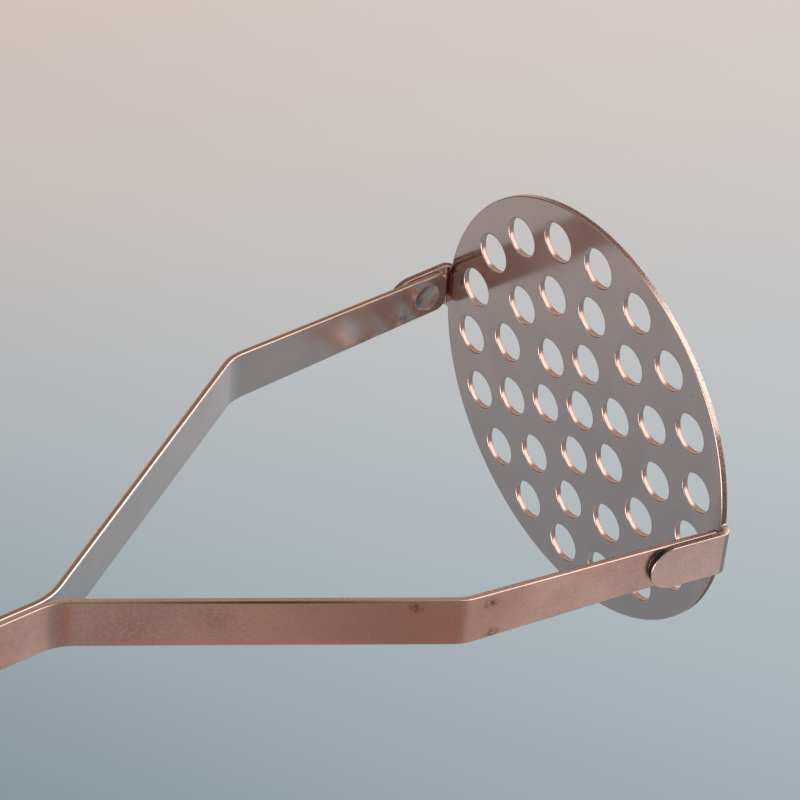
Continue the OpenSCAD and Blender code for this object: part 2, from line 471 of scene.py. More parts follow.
@dataclass(frozen=True)
class OuterRim:
    """A stamped sheet's outer edge: rougher than its holes' walls, burnished well away from the ears, with
    painted shade on the ears' tips.

    Attributes:
        color: the plain edge's colour, beside the ears and half way between them.
        start: the radius where the round rim starts.
        start_fade: the width over which it does.
        ear_start: the height where the ears' edges start.
        ear_fade: the height over which they do.
        burnished: the colour of the burnished stretches.
        burnished_to: how far along X the burnishing reaches.
        burnished_blur: half the width of its ragged end.
        burnished_from: where it starts along X.
        burnished_rise: the length over which it grows.
        ragged_size: the size of the teeth at its ragged end.
        ragged_reach: how far they reach.
        dirt: how dirty the plain edge is.
        wiped: how much less the burnished stretches are.
        tip_shade: the colour of the painted shade on the ears' tips, where they face the straps across a
            narrow gap.
        tip_shade_height: the height where the painted shade starts.
        tip_shade_fade: the height over which it deepens.
        tip_shade_share: how much it covers at most.
    """

    color: Color = (0.32, 0.215, 0.18)
    start: float = 42.2 * MM
    start_fade: float = 0.2 * MM
    ear_start: float = 2.4 * MM
    ear_fade: float = 0.4 * MM
    burnished: Color = (0.72, 0.615, 0.58)
    burnished_to: float = 36.5 * MM
    burnished_blur: float = 1.2 * MM
    burnished_from: float = 10.0 * MM
    burnished_rise: float = 12.0 * MM
    ragged_size: float = 1.4 * MM
    ragged_reach: float = 3.0 * MM
    dirt: float = 0.9
    wiped: float = 0.6
    # Painted shade: the ears' tips are darkened where they face the straps across a narrow gap.
    tip_shade: Color = (0.025, 0.018, 0.016)
    tip_shade_height: float = 12.5 * MM
    tip_shade_fade: float = 2.5 * MM
    tip_shade_share: float = 0.9

    def mask(self, graph: Graph, place: Signal) -> Signal:
        """Returns 1 on the outer rim and the ears' edges, and 0 on the holes' walls."""
        flat = graph.stretched(place, (1.0, 1.0, 0.0))
        radius = graph.distance(flat, (0.0, 0.0, 0.0))
        round_rim = graph.ramp(radius, self.start, self.start + self.start_fade)
        ears = graph.ramp(graph.component(place, "Z"), self.ear_start, self.ear_start + self.ear_fade)
        return graph.compute("MAXIMUM", round_rim, ears)

    def worn(self, graph: Graph, place: Signal) -> Signal:
        """Returns how burnished the round rim is: 0 beside the ears and half way between them."""
        side = graph.compute("ABSOLUTE", graph.component(place, "X"))
        flat = graph.stretched(place, (1.0, 1.0, 0.0))
        ragged = side + (graph.noise(flat, self.ragged_size, 2.0) - 0.5) * self.ragged_reach
        end = graph.ramp(
            ragged, self.burnished_to + self.burnished_blur, self.burnished_to - self.burnished_blur
        )
        return end * graph.ramp(side, self.burnished_from, self.burnished_from + self.burnished_rise)

    def tip_shaded(self, graph: Graph, place: Signal) -> Signal:
        """Returns how much painted shade darkens an ear's edge, from 0 below to its most at the tip."""
        height = graph.component(place, "Z")
        return graph.ramp(height, self.tip_shade_height, self.tip_shade_height + self.tip_shade_fade) * self.tip_shade_share


@dataclass(frozen=True)
class ShearedEdge(Finish):
    """A punched edge: a smooth burnished band above a rough torn one, with dark crumbs."""

    name: str
    smooth: Color
    torn: Color
    torn_height: float
    speckle: float
    rim: OuterRim | None = None
    stains_and_light: tuple[StainOrLight, ...] = ()
    smooth_roughness: float = 0.26
    torn_roughness: float = 0.5
    torn_dirt: float = 0.2
    torn_size: float = 0.9 * MM
    torn_depth: float = 0.035 * MM
    drag_size: float = 0.22 * MM
    drag_stretch: Point = (1.0, 1.0, 0.15)
    drag_depth: float = 0.003 * MM
    crumb: Color = (0.07, 0.045, 0.038)
    crumb_size: float = 0.27 * MM

    def shade(self, graph: Graph) -> dict[str | int, Input]:
        """Returns the Principled shader's inputs.

        Args:
            graph: the material's graph.

        Returns:
            Values and links by socket name.
        """
        place = graph.place()
        height = graph.component(place, "Z")
        ragged = height + (graph.noise(place, self.torn_size, 3.0) - 0.5) * (0.5 * self.torn_height)
        rough = graph.ramp(ragged, self.torn_height, 0.6 * self.torn_height)
        color = graph.blend(rough, self.smooth, self.torn)
        dirt: Input = rough * self.torn_dirt + self.speckle
        if self.rim is not None:
            outer = self.rim.mask(graph, place)
            worn = self.rim.worn(graph, place)
            color = graph.blend(outer, color, graph.blend(worn, self.rim.color, self.rim.burnished))
            rough = graph.compute("MAXIMUM", rough, outer)
            dirt = dirt + outer * (self.rim.dirt - worn * self.rim.wiped)
        crumbs = graph.noise(place, self.crumb_size, 3.0, 0.65)
        color = graph.blend(graph.ramp(crumbs, 0.48, 0.62) * dirt, color, self.crumb)
        # Spots of stain and of painted light and shade.
        for stain_or_light in self.stains_and_light:
            color = stain_or_light.cover(graph, place, color)
        # Painted shade over the ears' tips.
        if self.rim is not None:
            color = graph.blend(self.rim.tip_shaded(graph, place), color, self.rim.tip_shade)
        roughness = self.smooth_roughness + rough * (self.torn_roughness - self.smooth_roughness)
        drag = graph.noise(graph.stretched(place, self.drag_stretch), self.drag_size, 2.0)
        dragged = graph.bump(drag, self.drag_depth)
        broken = graph.bump(crumbs * rough, self.torn_depth, dragged)
        return self.metal(color, roughness, broken)


@dataclass(frozen=True)
class TurnedSteel(Finish):
    """A polished rivet's or eyelet's metal, with faint turning rings about the X direction."""

    name: str
    centre: Point
    tint: Color = (0.70, 0.575, 0.535)
    tarnish: Color = (0.42, 0.31, 0.27)
    roughness: float = 0.2
    cloud_size: float = 2.4 * MM
    cloud_share: float = 0.5
    cloud_gloss: float = 0.18
    ring_step: float = 0.16 * MM
    ring_depth: float = 0.0006 * MM
    dent_size: float = 1.1 * MM
    dent_depth: float = 0.006 * MM

    def shade(self, graph: Graph) -> dict[str | int, Input]:
        """Returns the Principled shader's inputs.

        Args:
            graph: the material's graph.

        Returns:
            Values and links by socket name.
        """
        place = graph.place()
        flat = graph.stretched(place, (0.0, 1.0, 1.0))
        radius = graph.distance(flat, (0.0, self.centre[1], self.centre[2]))
        rings = graph.compute("SINE", radius * (math.tau / self.ring_step))
        cloud = graph.noise(place, self.cloud_size, 4.0)
        color = graph.blend(graph.ramp(cloud, 0.45, 0.75) * self.cloud_share, self.tint, self.tarnish)
        roughness = self.roughness + (cloud - 0.5) * self.cloud_gloss
        dents = graph.bump(graph.noise(place, self.dent_size, 2.0), self.dent_depth)
        turned = graph.bump(rings, self.ring_depth, dents)
        return self.metal(color, roughness, turned)


@dataclass(frozen=True)
class OiledWood(Finish):
    """Oiled hardwood: growth rings round a pith beside the handle, fibres, pores and a thin sheen."""

    name: str = "oiled_wood"
    light: Color = (0.40, 0.205, 0.098)
    dark: Color = (0.165, 0.070, 0.033)
    pore: Color = (0.050, 0.022, 0.012)
    pith: Point = (0.021, -0.034, 0.0)
    ring_step: float = 3.1 * MM
    ring_share: float = 0.62
    warp_size: float = 11 * MM
    warp_reach: float = 7.5 * MM
    cloud_size: float = 16 * MM
    cloud_share: float = 0.7
    fibre_size: float = 0.32 * MM
    fibre_share: float = 0.75
    fibre_depth: float = 0.012 * MM
    pore_size: float = 0.42 * MM
    pore_depth: float = 0.05 * MM
    roughness: float = 0.42
    coat: float = 0.18
    coat_roughness: float = 0.28

    def shade(self, graph: Graph) -> dict[str | int, Input]:
        """Returns the Principled shader's inputs.

        Args:
            graph: the material's graph.

        Returns:
            Values and links by socket name.
        """
        place = graph.place()
        slow = graph.stretched(place, (1.0, 1.0, 0.09))
        warp = graph.noise(slow, self.warp_size, 2.0) * self.warp_reach
        flat = graph.stretched(place, (1.0, 1.0, 0.03))
        radius = graph.distance(flat, self.pith) + warp
        turn = graph.compute("FRACT", radius * (1 / self.ring_step))
        late = graph.ramp(turn, 0.35, 0.97) * graph.ramp(turn, 1.0, 0.97)
        fibres = graph.noise(graph.stretched(place, (1.0, 1.0, 0.035)), self.fibre_size, 4.0, 0.6)
        clouds = graph.noise(slow, self.cloud_size, 3.0)
        tone = late * self.ring_share + (fibres - 0.5) * self.fibre_share + (clouds - 0.5) * self.cloud_share
        color = graph.blend(tone, self.light, self.dark)
        streaks = graph.noise(graph.stretched(place, (1.0, 1.0, 0.05)), self.pore_size, 1.0)
        pores = graph.ramp(streaks, 0.66, 0.74)
        color = graph.blend(pores * (late * 0.5 + 0.45), color, self.pore)
        roughness = self.roughness + (fibres - 0.5) * 0.22 + pores * 0.2
        grain = graph.bump(fibres, self.fibre_depth)
        porous = graph.bump(1 - pores, self.pore_depth, grain)
        return {
            "Base Color": color,
            "Roughness": roughness,
            "Normal": porous,
            "Coat Weight": self.coat,
            "Coat Roughness": self.coat_roughness,
        }


# ---------------------------------------------------------------- mesh helpers


def keep(name: str, shape: bmesh.types.BMesh, materials: Iterable[bpy.types.Material]) -> bpy.types.Object:
    """Turns a bmesh into an object at the origin.

    Args:
        name: the piece's name.
        shape: the bmesh, which is freed.
        materials: the materials of its slots.

    Returns:
        The new object.
    """
    mesh = bpy.data.meshes.new(name)
    shape.to_mesh(mesh)
    shape.free()
    for material in materials:
        mesh.materials.append(material)
    piece = bpy.data.objects.new(name, mesh)
    bpy.context.scene.collection.objects.link(piece)
    mesh.shade_smooth()
    return piece


def round_edges(
    piece: bpy.types.Object,
    radius: float,
    segments: int = 2,
    angle: float = 35.0,
    slot: int = -1,
    clamp: bool = True,
) -> None:
    """Rounds the sharp edges and keeps the flat faces flat.

    Args:
        piece: the piece.
        radius: the rounding's width.
        segments: the number of steps.
        angle: the least angle of an edge that is rounded, in degrees.
        slot: the material slot of the rounded corners, or -1 for their neighbours' own.
        clamp: whether short edges hold the rounding back.
    """
    edge = piece.modifiers.new("rounded_edges", "BEVEL")
    edge.width = radius
    edge.segments = segments
    edge.limit_method = "ANGLE"
    edge.angle_limit = math.radians(angle)
    edge.material = slot
    edge.use_clamp_overlap = clamp
    normals = piece.modifiers.new("flat_faces", "WEIGHTED_NORMAL")
    normals.weight = 50
    normals.keep_sharp = False


def rim_of(shape: bmesh.types.BMesh) -> list[bmesh.types.BMEdge]:
    """Returns the edges with a face on one side only."""
    return [edge for edge in shape.edges if edge.is_boundary]


def only(kind: type, made: Iterable[object]) -> list:
    """Returns what is of one kind, such as the edges, among the things that an operator made."""
    return [item for item in made if isinstance(item, kind)]


@dataclass(frozen=True)
class SheetLook:
    """The finishes of a piece that is cut and bent from sheet."""

    face: Finish
    edge: Finish
    back: Finish
    corner: Finish


def sheet_piece(
    name: str, shape: bmesh.types.BMesh, look: SheetLook, thickness: float, radius: float, segments: int = 2
) -> bpy.types.Object:
    """Turns a single layer of faces into sheet metal with rounded corners.

    Args:
        name: the piece's name.
        shape: the layer, which is freed. The sheet's thickness grows away from its faces.
        look: the sheet's finishes.
        thickness: the sheet's thickness.
        radius: the corners' radius.
        segments: the number of steps round a corner.

    Returns:
        The new object.
    """
    finishes = (look.face, look.edge, look.back, look.corner)
    piece = keep(name, shape, (finish.material() for finish in finishes))
    wall = piece.modifiers.new("thickness", "SOLIDIFY")
    wall.thickness = thickness
    wall.offset = -1.0
    wall.use_even_offset = True
    wall.use_quality_normals = True
    wall.material_offset_rim = finishes.index(look.edge)
    wall.material_offset = finishes.index(look.back)
    round_edges(piece, radius, segments, slot=finishes.index(look.corner), clamp=False)
    return piece


def face_towards(shape: bmesh.types.BMesh, way: Point) -> None:
    """Turns a layer's faces alike, so that most of their area looks in a direction.

    Args:
        shape: the layer.
        way: the direction.
    """
    bmesh.ops.recalc_face_normals(shape, faces=shape.faces[:])
    if sum(face.normal.dot(Vector(way)) * face.calc_area() for face in shape.faces) < 0:
        bmesh.ops.reverse_faces(shape, faces=shape.faces[:])


def round_points(
    shape: bmesh.types.BMesh, points: list[bmesh.types.BMVert], offset: float, steps: int
) -> None:
    """Rounds the corners of a flat layer.

    Args:
        shape: the layer.
        points: its corners that are rounded.
        offset: how far from a corner its rounding starts.
        steps: the number of steps round a corner.
    """
    bmesh.ops.bevel(
        shape,
        geom=points,
        offset=offset,
        segments=steps,
        profile=0.5,
        affect="VERTICES",
        clamp_overlap=False,
        material=-1,
    )


def bent(
    shape: bmesh.types.BMesh,
    edge: bmesh.types.BMEdge,
    centre: Vector,
    turn: float,
    steps: int,
    way: float = -1.0,
) -> bmesh.types.BMEdge:
    """Sweeps an edge round an axis along Y.

    Args:
        shape: the layer that the edge ends.
        edge: the edge.
        centre: a point on the axis.
        turn: the sweep's angle in radians.
        steps: the number of steps.
        way: the axis's direction, -1 or 1.

    Returns:
        The edge at the sweep's end.
    """
    made = bmesh.ops.spin(
        shape, geom=[edge, *edge.verts], cent=centre, axis=(0.0, way, 0.0), angle=turn, steps=steps
    )
    return only(bmesh.types.BMEdge, made["geom_last"])[0]


def cut_away(piece: bpy.types.Object, cutters: Iterable[bpy.types.Object]) -> None:
    """Subtracts closed shapes from a piece, and removes them.

    Args:
        piece: the piece that is cut.
        cutters: the closed shapes.
    """
    for number, cutter in enumerate(cutters):
        cut = piece.modifiers.new(f"cut_{number}", "BOOLEAN")
        cut.operation = "DIFFERENCE"
        cut.solver = "EXACT"
        cut.object = cutter
        settle(piece)
        bpy.data.objects.remove(cutter)


def settle(piece: bpy.types.Object) -> None:
    """Applies the piece's modifiers to its mesh."""
    graph = bpy.context.evaluated_depsgraph_get()
    mesh = bpy.data.meshes.new_from_object(piece.evaluated_get(graph))
    piece.modifiers.clear()
    piece.data = mesh


def lathe(profile: Sequence[tuple[float, float]], centre: Vector, steps: int = 64) -> bmesh.types.BMesh:
    """Turns a closed profile about the X direction.

    Args:
        profile: pairs of radius and place along X, from axis to axis or round a ring.
        centre: a point on the axis.
        steps: the number of steps in a full turn.

    Returns:
        The closed shape.
    """
    shape = bmesh.new()
    points = [
        bmesh.ops.create_vert(shape, co=centre + Vector((along, radius, 0.0)))["vert"][0]
        for radius, along in profile
    ]
    ring = profile[0][0] > 0.0
    pairs = zip(points, points[1:] + points[:1] if ring else points[1:])
    for pair in pairs:
        bmesh.ops.contextual_create(shape, geom=list(pair))
    bmesh.ops.spin(
        shape,
        geom=shape.verts[:] + shape.edges[:],
        cent=centre,
        axis=(1.0, 0.0, 0.0),
        angle=math.tau,
        steps=steps,
        use_merge=True,
    )
    bmesh.ops.remove_doubles(shape, verts=shape.verts[:], dist=TOUCHING)
    bmesh.ops.recalc_face_normals(shape, faces=shape.faces[:])
    return shape


def seated(piece: bpy.types.Object, slot: Slot, node: str) -> bpy.types.Object:
    """Puts a finished piece on the model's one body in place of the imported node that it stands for.

    Args:
        piece: the finished piece.
        slot: the record's slot for its finish.
        node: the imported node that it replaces.

    Returns:
        The piece.
    """
    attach(piece, BODY)
    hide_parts(node)
    LOG.info("%s: %d faces, %s", piece.name, len(piece.data.polygons), slot.value)
    return piece


# ---------------------------------------------------------------- the frame's shape


@dataclass
class FrameLine:
    """The line that the ears and straps follow, in the half plane x >= 0 of the frame's middle plane."""

    sheet: float = 1.2 * MM
    ear_root: float = 42.79 * MM
    ear_bend: float = 0.6 * MM
    strap: float = 1.2 * MM
    shoulder_half: float = 38.3 * MM
    shoulder_height: float = 52.7 * MM
    merge_height: float = 113.7 * MM
    shift: float = -4.1 * MM

    def lean(self, side: Side) -> float:
        """Returns the inward lean of an ear and its strap, in radians."""
        across = self.shoulder_half - (self.ear_root - side.value * self.shift)
        up = self.shoulder_height - (self.sheet + self.ear_bend)
        return math.asin(self.ear_bend / math.hypot(across, up)) - math.atan2(across, up)

    def slope(self) -> float:
        """Returns the angle of the frame's upper runs from the upright, in radians."""
        return math.atan2(self.shoulder_half - self.strap, self.merge_height - self.shoulder_height)

    @staticmethod
    def outward(leaning: float) -> Vector:
        """Returns the outward direction of a strip that leans inward."""
        return Vector((math.cos(leaning), 0.0, math.sin(leaning)))

    @staticmethod
    def along(leaning: float) -> Vector:
        """Returns the way up along a strip that leans inward."""
        return Vector((-math.sin(leaning), 0.0, math.cos(leaning)))


# ---------------------------------------------------------------- the mashing plate


@dataclass
class MashPlate:
    """The perforated plate with its two ears, bent from one sheet."""

    line: FrameLine
    radius: float = 42.48 * MM
    hole_radius: float = 3.9 * MM
    ring_pitch: float = 11.5 * MM
    rings: int = 3
    ear_width: float = 9.8 * MM
    right_ear_height: float = 17.0 * MM
    left_ear_height: float = 14.8 * MM
    border: float = 0.3 * MM
    edge_radius: float = 0.16 * MM
    rim_steps: int = 120
    hole_steps: int = 48
    bend_steps: int = 12
    tip_steps: int = 14
    tip_share: float = 0.495
    curl_height: float = 0.9 * MM
    curl_start: float = 33.0 * MM
    curl_steps: int = 8
    least_edge: float = 0.05 * MM

    def _curl(self, shape: bmesh.types.BMesh) -> None:
        """Lifts the plate a little towards the right ear's bend, and less up the ear itself.

        Args:
            shape: the plate's upper face with its ears.
        """
        run = self.line.ear_root - self.curl_start
        ear_rise = self.right_ear_height - self.line.sheet
        for step in range(self.curl_steps):
            bmesh.ops.bisect_plane(
                shape,
                geom=shape.verts[:] + shape.edges[:] + shape.faces[:],
                plane_co=(self.curl_start + run * step / self.curl_steps, 0.0, 0.0),
                plane_no=(1.0, 0.0, 0.0),
            )
        bmesh.ops.remove_doubles(shape, verts=shape.verts[:], dist=self.least_edge)
        for vert in shape.verts:
            along = min(max((vert.co.x - self.curl_start) / run, 0.0), 1.0)
            up = min(max((vert.co.z - self.line.sheet) / ear_rise, 0.0), 1.0)
            vert.co.z += self.curl_height * along**2 * (1 - up)

    def hole_centres(self) -> list[Vector]:
        """Returns the holes' centres: one in the middle and rings of six, twelve and so on."""
        centres = [Vector((0.0, 0.0, self.line.sheet))]
        for ring in range(1, self.rings + 1):
            for k in range(6 * ring):
                turn = math.radians((k + (ring % 2) / 2) * 60 / ring)
                spot = Vector((math.cos(turn), math.sin(turn), 0.0)) * ring * self.ring_pitch
                centres.append(spot + Vector((0.0, 0.0, self.line.sheet)))
        return centres

    def _outline(self, shape: bmesh.types.BMesh) -> None:
        """Draws the plate's rim with a straight root for each ear.

        Args:
            shape: the bmesh to draw in, at the height of the plate's upper face.
        """
        half = self.ear_width / 2
        open_angle = math.asin(half / self.radius)
        corners: dict[Side, list[bmesh.types.BMVert]] = {Side.RIGHT: [], Side.LEFT: []}
        for side in Side:
            start = Vector((math.cos(open_angle), math.sin(open_angle), 0.0)) * self.radius * side.value
            start.z = self.line.sheet
            first = bmesh.ops.create_vert(shape, co=start)["vert"][0]
            arc = bmesh.ops.spin(
                shape,
                geom=[first],
                cent=(0.0, 0.0, self.line.sheet),
                axis=(0.0, 0.0, 1.0),
                angle=math.pi - 2 * open_angle,
                steps=self.rim_steps,
            )
            last = only(bmesh.types.BMVert, arc["geom_last"])[0]
            for end in (first, last):
                root = bmesh.ops.extrude_vert_indiv(shape, verts=[end])["verts"][0]
                root.co.x = math.copysign(self.line.ear_root, end.co.x)
                corners[Side.RIGHT if end.co.x > 0 else Side.LEFT].append(root)
        for pair in corners.values():
            bmesh.ops.contextual_create(shape, geom=pair)

    def _root(self, shape: bmesh.types.BMesh, side: Side) -> bmesh.types.BMEdge:
        """Returns the edge that an ear rises from."""
        return max(rim_of(shape), key=lambda edge: min(side.value * v.co.x for v in edge.verts))

    def _raise_ear(self, shape: bmesh.types.BMesh, root: bmesh.types.BMEdge, side: Side) -> None:
        """Bends an ear up from its root edge and rounds its tip.

        Args:
            shape: the plate's upper face.
            root: the ear's root edge.
            side: which ear it is.
        """
        lean = self.line.lean(side)
        centre = Vector((side.value * self.line.ear_root, 0.0, self.line.sheet + self.line.ear_bend))
        end = bent(shape, root, centre, math.pi / 2 + lean, self.bend_steps, -side.value)
        tip = only(bmesh.types.BMVert, bmesh.ops.extrude_edge_only(shape, edges=[end])["geom"])
        way = self.line.along(lean)
        way.x *= side.value
        height = self.right_ear_height if side is Side.RIGHT else self.left_ear_height
        tip_height = height - self.line.sheet * math.sin(lean)
        rise = (tip_height - tip[0].co.z) / way.z
        bmesh.ops.translate(shape, verts=tip, vec=way * rise)
        round_points(shape, tip, self.tip_share * self.ear_width, self.tip_steps)

    def build(self, look: SheetLook) -> bpy.types.Object:
        """Builds the plate.

        Args:
            look: its finishes. The face is the plate's upper side and the ears' inner sides.

        Returns:
            The finished piece.
        """
        shape = bmesh.new()
        self._outline(shape)
        for centre in self.hole_centres():
            bmesh.ops.create_circle(
                shape, segments=self.hole_steps, radius=self.hole_radius, matrix=Matrix.Translation(centre)
            )
        bmesh.ops.triangle_fill(shape, use_beauty=True, edges=shape.edges[:], normal=(0.0, 0.0, 1.0))
        bmesh.ops.inset_region(
            shape, faces=shape.faces[:], thickness=self.border, use_boundary=True, use_even_offset=True
        )
        for side in Side:
            self._raise_ear(shape, self._root(shape, side), side)
        face_towards(shape, (0.0, 0.0, 1.0))
        self._curl(shape)
        piece = sheet_piece("mashing_plate", shape, look, self.line.sheet, self.edge_radius)
        return seated(piece, Slot.PLATE, "mash_plate")


# ---------------------------------------------------------------- the straps


@dataclass
class Strap:
    """One bent strap of the frame, from its welded foot to the end of the tang."""

    line: FrameLine
    side: Side
    width: float = 10.8 * MM
    foot_width: float = 9.0 * MM
    foot_corner: float = 2.2 * MM
    foot_height: float = 2.0 * MM
    toe_steps: int = 8
    shoulder_bend: float = 8.0 * MM
    merge_bend: float = 11.0 * MM
    tang_end: float = 230.0 * MM
    weld_up: float = 4.7 * MM
    weld_radius: float = 3.0 * MM
    weld_depth: float = 0.35 * MM
    weld_rings: int = 10
    weld_steps: int = 40
    edge_radius: float = 0.28 * MM
    bend_steps: int = 12

    def _dish(self, shape: bmesh.types.BMesh) -> list[bmesh.types.BMEdge]:
        """Presses the weld's shallow round dish into the foot's flat face.

        Args:
            shape: the foot, flat on the XY plane.

        Returns:
            The edges of the dish's rim.
        """
        made = bmesh.ops.create_circle(
            shape,
            cap_ends=True,
            segments=self.weld_steps,
            radius=self.weld_radius,
            matrix=Matrix.Translation((0.0, self.weld_up, 0.0)),
        )
        cap = made["verts"][0].link_faces[0]
        way = 1.0 if cap.normal.z > 0 else -1.0
        for ring in range(self.weld_rings - 1):
            outer, inner = 1 - ring / self.weld_rings, 1 - (ring + 1) / self.weld_rings
            bmesh.ops.inset_region(
                shape,
                faces=[cap],
                thickness=self.weld_radius / self.weld_rings,
                depth=-way * self.weld_depth * (outer**2 - inner**2),
                use_boundary=True,
                use_even_offset=True,
            )
        return rim_of(shape)

    def _foot(self, shape: bmesh.types.BMesh, length: float) -> None:
        """Draws the strap's flat foot on the XY plane, with its end at y = 0 and its face towards +Z.

        Args:
            shape: an empty bmesh.
            length: the length of the straight run up to the shoulder's bend.
        """
        bmesh.ops.create_grid(shape, x_segments=1, y_segments=1, size=0.5)
        bmesh.ops.translate(shape, verts=shape.verts[:], vec=(0.0, 0.5, 0.0))
        bmesh.ops.scale(shape, verts=shape.verts[:], vec=(self.width, length, 1.0))
        toes = [v for v in shape.verts if v.co.y < length / 2]
        bmesh.ops.scale(shape, verts=toes, vec=(self.foot_width / self.width, 1.0, 1.0))
        round_points(shape, toes, self.foot_corner, self.toe_steps)
        bmesh.ops.delete(shape, geom=shape.faces[:], context="FACES_ONLY")
        edges = shape.edges[:] + self._dish(shape)
        bmesh.ops.triangle_fill(shape, use_beauty=True, edges=edges, normal=(0.0, 0.0, 1.0))

    def build(self, look: SheetLook) -> bpy.types.Object:
        """Builds the strap.

        Args:
            look: its finishes. The face is the strap's inner side.

        Returns:
            The finished piece.
        """
        line, lean, slope = self.line, self.line.lean(self.side), self.line.slope()
        outer = self.shoulder_bend + line.strap
        shoulder = Vector((line.shoulder_half, 0.0, line.shoulder_height))
        start = shoulder - line.along(lean) * outer * math.tan((slope - lean) / 2)
        length = (start.z - self.foot_height) / math.cos(lean)
        shape = bmesh.new()
        self._foot(shape, length)
        toe = start - line.along(lean) * length - line.outward(lean) * line.strap
        axes = Matrix((Vector((0.0, -1.0, 0.0)), line.along(lean), -line.outward(lean))).transposed()
        bmesh.ops.transform(shape, matrix=Matrix.Translation(toe) @ axes.to_4x4(), verts=shape.verts[:])
        centre = start - line.outward(lean) * outer
        turned = bent(shape, self._top_edge(shape), centre, slope - lean, self.bend_steps)
        merge_centre = Vector(
            (line.strap + self.merge_bend, 0.0, line.merge_height + self.merge_bend * math.tan(slope / 2))
        )
        merge_start = merge_centre - line.outward(slope) * (self.merge_bend + line.strap)
        run = self._extended(shape, turned, merge_start)
        merged = bent(shape, run, merge_centre, -slope, self.bend_steps)
        self._extended(shape, merged, Vector((0.0, 0.0, self.tang_end)))
        face_towards(shape, (-1.0, 0.0, 0.0))
        if self.side is Side.LEFT:
            bmesh.ops.scale(shape, verts=shape.verts[:], vec=(-1.0, 1.0, 1.0))
            bmesh.ops.reverse_faces(shape, faces=shape.faces[:])
        bmesh.ops.translate(shape, verts=shape.verts[:], vec=(line.shift, 0.0, 0.0))
        name = f"{self.side.name.lower()}_strap"
        piece = sheet_piece(f"{name}_steel", shape, look, line.strap, self.edge_radius, segments=3)
        return seated(piece, Slot.STRAP, name)

    @staticmethod
    def _top_edge(shape: bmesh.types.BMesh) -> bmesh.types.BMEdge:
        """Returns the foot's highest boundary edge."""
        return max(rim_of(shape), key=lambda edge: min(v.co.z for v in edge.verts))

    @staticmethod
    def _extended(shape: bmesh.types.BMesh, end: bmesh.types.BMEdge, goal: Vector) -> bmesh.types.BMEdge:
        """Extrudes the strap's end edge straight to a goal.

        Args:
            shape: the strap.
            end: the edge.
            goal: the place of the new edge's middle.

        Returns:
            The new end edge.
        """
        made = bmesh.ops.extrude_edge_only(shape, edges=[end])["geom"]
        fresh = (edge for edge in only(bmesh.types.BMEdge, made) if edge.is_boundary)
        edge = next(edge for edge in fresh if all(vert in made for vert in edge.verts))
        middle = (edge.verts[0].co + edge.verts[1].co) / 2
        bmesh.ops.translate(shape, verts=list(edge.verts), vec=goal - middle)
        return edge


# ---------------------------------------------------------------- the handle


